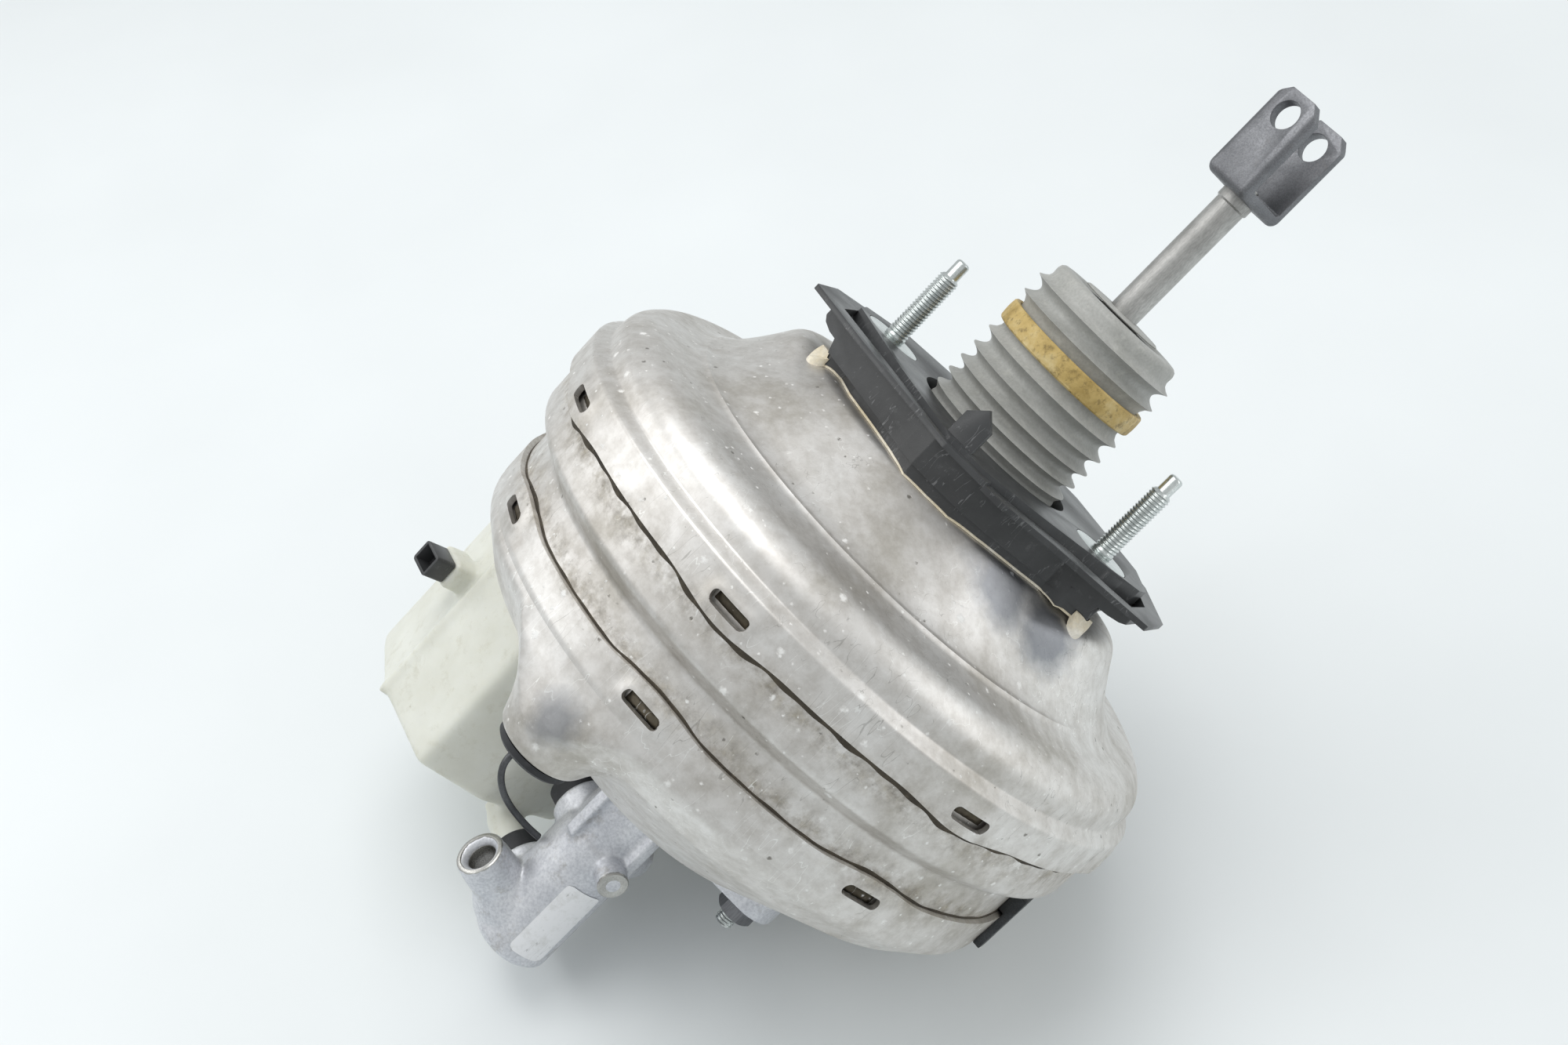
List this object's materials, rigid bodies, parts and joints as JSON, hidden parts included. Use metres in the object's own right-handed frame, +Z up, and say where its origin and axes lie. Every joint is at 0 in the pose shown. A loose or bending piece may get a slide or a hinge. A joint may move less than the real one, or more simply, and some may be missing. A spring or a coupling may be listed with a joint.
{
  "type": "tandem vacuum brake booster with master cylinder",
  "caption": "Tandem vacuum brake booster: pressed aluminium shells, grey boot, input rod with clevis, black bulkhead frame, tandem master cylinder and ivory fluid reservoir.",
  "frame": {"origin": "centre of the mounting face, midway between the two mounting studs where they leave the bulkhead frame", "axes": "+X along the booster axis towards the pedal and the clevis, +Z up as fitted in a car with the reservoir on top, Y along the clevis pin"},
  "size_m": [0.4062, 0.2482, 0.2671],
  "materials": {
    "shell_aluminium": "pressed sheet, satin, lightly stained",
    "inner_sheet": "pressed steel, phosphated",
    "cast_aluminium": "fine sand-like casting skin",
    "black_plastic": "moulded, semi-gloss",
    "boot_rubber": "matt grey",
    "band_plastic": "mustard, worn",
    "black_rubber": "matt",
    "gasket_foam": "pale foam, slightly stained",
    "zinc_steel": "zinc plated",
    "dark_steel": "plain drawn steel, dull",
    "spring_steel": "oiled spring wire",
    "clip_steel": "dark phosphated strip",
    "hub_plastic": "phenolic moulding",
    "valve_metal": "machined",
    "nylon": "natural nylon",
    "felt": "compressed felt",
    "tank_plastic": "translucent ivory moulding"
  },
  "bodies": {
    "housing": {"rear_shell": "shell_aluminium", "centre_shell": "shell_aluminium", "centre_wall": "inner_sheet", "centre_seal": "black_rubber", "front_shell": "shell_aluminium", "vacuum_grommet": "black_rubber", "shell_clip": "clip_steel", "bulkhead_frame": "black_plastic", "frame_gasket": "gasket_foam", "collar_upper": "zinc_steel", "collar_lower": "zinc_steel", "tie_bolt_upper": "zinc_steel", "tie_bolt_lower": "zinc_steel", "front_nut_upper": "zinc_steel", "front_nut_lower": "zinc_steel", "boot": "boot_rubber", "boot_band": "band_plastic", "rear_diaphragm": "black_rubber", "front_diaphragm": "black_rubber", "return_spring": "spring_steel", "neck_seal": "black_rubber", "master_body": "cast_aluminium", "stop_ring": "dark_steel", "snout_ring": "black_rubber", "primary_spring": "spring_steel", "secondary_spring": "spring_steel", "reservoir": "tank_plastic", "sensor_plug": "black_plastic", "reservoir_grommet_rear": "black_rubber", "reservoir_grommet_front": "black_rubber", "reservoir_clip": "spring_steel"},
    "power_piston_body": {"power_piston": "hub_plastic", "rear_plate": "inner_sheet", "front_plate": "inner_sheet", "stop_key": "dark_steel", "valve_poppet": "black_rubber", "poppet_retainer": "dark_steel", "rod_spring": "spring_steel", "air_filter": "felt", "reaction_disc": "black_rubber", "output_rod": "dark_steel"},
    "valve_body": {"valve_plunger": "valve_metal"},
    "ball_cup_body": {"ball_cup": "nylon"},
    "rod_body": {"input_rod": "dark_steel", "clevis": "dark_steel", "spring_seat": "dark_steel"},
    "primary_body": {"primary_piston": "valve_metal", "primary_cup": "black_rubber"},
    "secondary_body": {"secondary_piston": "valve_metal", "secondary_rear_cup": "black_rubber", "secondary_front_cup": "black_rubber"},
    "cap_carrier": {"cap_seal": "black_rubber"},
    "cap_body": {"filler_cap": "black_plastic"}
  },
  "joints": [
    {"name": "booster_stroke", "type": "slide", "parent": "housing", "child": "power_piston_body", "axis": [-1, 0, 0], "range_m": [0, 0.026], "stiffness_N_per_m": 2000, "springref_m": -0.03, "deforming": ["boot", "boot_band", "return_spring", "rear_diaphragm", "front_diaphragm"]},
    {"name": "valve_stroke", "type": "slide", "parent": "power_piston_body", "child": "valve_body", "axis": [-1, 0, 0], "range_m": [0, 0.0015], "stiffness_N_per_m": 3000, "springref_m": -0.004, "deforming": ["rod_spring", "valve_poppet"]},
    {"name": "rod_spin", "type": "hinge", "parent": "valve_body", "child": "ball_cup_body", "pos_m": [-0.062, 0, 0], "axis": [1, 0, 0], "continuous": true},
    {"name": "rod_tilt", "type": "hinge", "parent": "ball_cup_body", "child": "rod_body", "pos_m": [-0.062, 0, 0], "axis": [0, 1, 0], "range_deg": [-2.5, 2.5], "stiffness_Nm_per_rad": 60},
    {"name": "primary_stroke", "type": "slide", "parent": "housing", "child": "primary_body", "axis": [-1, 0, 0], "range_m": [0, 0.0261], "deforming": ["primary_spring"]},
    {"name": "secondary_stroke", "type": "slide", "parent": "housing", "child": "secondary_body", "axis": [-1, 0, 0], "range_m": [0, 0.0131], "deforming": ["secondary_spring"]},
    {"name": "cap_rise", "type": "slide", "parent": "housing", "child": "cap_carrier", "axis": [0, 0, 1], "range_m": [0, 0.006]},
    {"name": "cap_turn", "type": "hinge", "parent": "cap_carrier", "child": "cap_body", "pos_m": [-0.176, 0.012, 0.13], "axis": [0, 0, 1], "range_deg": [0, 545]}
  ],
  "couplings": [
    {"joint": "primary_stroke", "follows": "booster_stroke", "ratio": 1},
    {"joint": "secondary_stroke", "follows": "booster_stroke", "ratio": 0.5},
    {"joint": "cap_turn", "follows": "cap_rise", "rad_per_m": 1570.8}
  ]
}
